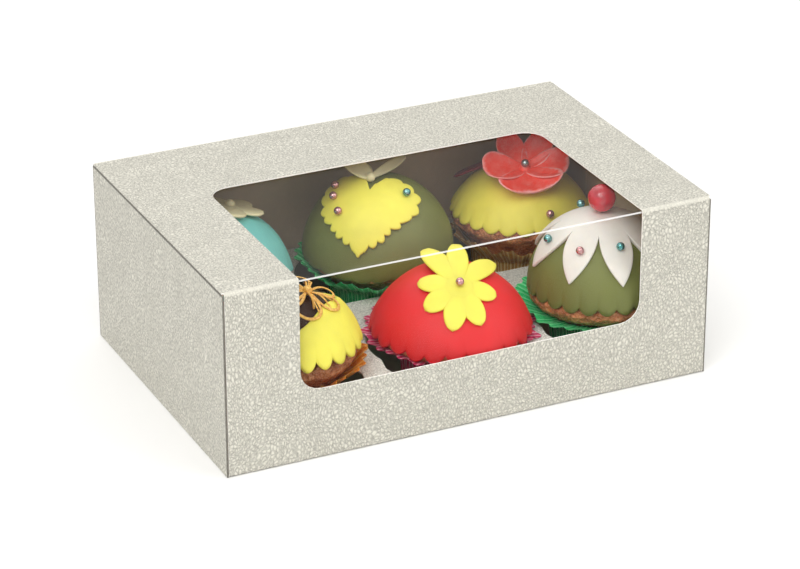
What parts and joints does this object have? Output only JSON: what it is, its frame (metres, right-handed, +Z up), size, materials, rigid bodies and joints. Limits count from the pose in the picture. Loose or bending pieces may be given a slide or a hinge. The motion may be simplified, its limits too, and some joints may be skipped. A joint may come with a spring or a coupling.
{
  "type": "window cupcake box",
  "caption": "Closed card carton with a clear window over its top front edge, a card insert and decorated cupcakes, opened by hinged end flaps.",
  "frame": {"origin": "middle of the underside", "axes": "+X along the carton's length, +Y from the window side to the back, +Z up"},
  "size_m": [0.243, 0.16, 0.09],
  "materials": {
    "carton_card": "off-white board embossed with a leather grain",
    "insert_card": "off-white embossed board with a grey back",
    "clear_film": "clear glossy film",
    "green_foil": "pleated foil",
    "magenta_foil": "pleated striped foil",
    "gold_foil": "pleated foil",
    "orange_foil": "pleated foil",
    "teal_foil": "pleated foil",
    "sponge": "baked sponge cake, rough and open",
    "olive_paste": "matt sugar paste",
    "red_paste": "matt sugar paste",
    "yellow_paste": "matt sugar paste",
    "turquoise_paste": "matt sugar paste",
    "white_paste": "matt sugar paste",
    "cream_paste": "matt sugar paste",
    "coral_paste": "brushed sugar paste",
    "maroon_paste": "matt sugar paste",
    "chocolate": "dark chocolate glaze",
    "raffia": "dyed raffia thread",
    "pink_pearl": "pearl lustre sugar ball",
    "teal_pearl": "pearl lustre sugar ball",
    "silver_pearl": "pearl lustre sugar ball",
    "cherry": "glossy glazed cherry"
  },
  "bodies": {
    "box": {"carton": "carton_card", "window_film": "clear_film", "insert": "insert_card", "back_left_case": "teal_foil", "back_left_cake": "sponge", "back_left_paste": "turquoise_paste", "back_left_blossom": "cream_paste", "back_middle_case": "green_foil", "back_middle_cake": "sponge", "back_middle_paste": "olive_paste", "back_middle_heart": "yellow_paste", "back_middle_bow": "cream_paste", "back_middle_pearl_1": "pink_pearl", "back_middle_pearl_2": "pink_pearl", "back_middle_pearl_3": "pink_pearl", "back_middle_pearl_4": "teal_pearl", "back_right_case": "gold_foil", "back_right_cake": "sponge", "back_right_paste": "yellow_paste", "back_right_blossom": "coral_paste", "back_right_leaf": "maroon_paste", "back_right_pearl_1": "silver_pearl", "back_right_pearl_2": "pink_pearl", "front_left_case": "orange_foil", "front_left_cake": "sponge", "front_left_chocolate": "chocolate", "front_left_skirt": "yellow_paste", "front_left_raffia": "raffia", "front_middle_case": "magenta_foil", "front_middle_cake": "sponge", "front_middle_paste": "red_paste", "front_middle_blossom": "yellow_paste", "front_middle_pearl_1": "pink_pearl", "front_right_case": "green_foil", "front_right_cake": "sponge", "front_right_paste": "olive_paste", "front_right_petals": "white_paste", "front_right_pearl_1": "teal_pearl", "front_right_pearl_2": "pink_pearl", "front_right_pearl_3": "teal_pearl", "front_right_pearl_4": "pink_pearl", "front_right_pearl_5": "teal_pearl", "front_right_cherry": "cherry"},
    "left_end": {"left_end_flap": "carton_card"},
    "right_end": {"right_end_flap": "carton_card"}
  },
  "joints": [
    {"name": "left_end_fold", "type": "hinge", "parent": "box", "child": "left_end", "pos_m": [-0.1215, 0, 0], "axis": [0, -1, 0], "range_deg": [0, 90]},
    {"name": "right_end_fold", "type": "hinge", "parent": "box", "child": "right_end", "pos_m": [0.1215, 0, 0], "axis": [0, 1, 0], "range_deg": [0, 90]}
  ]
}
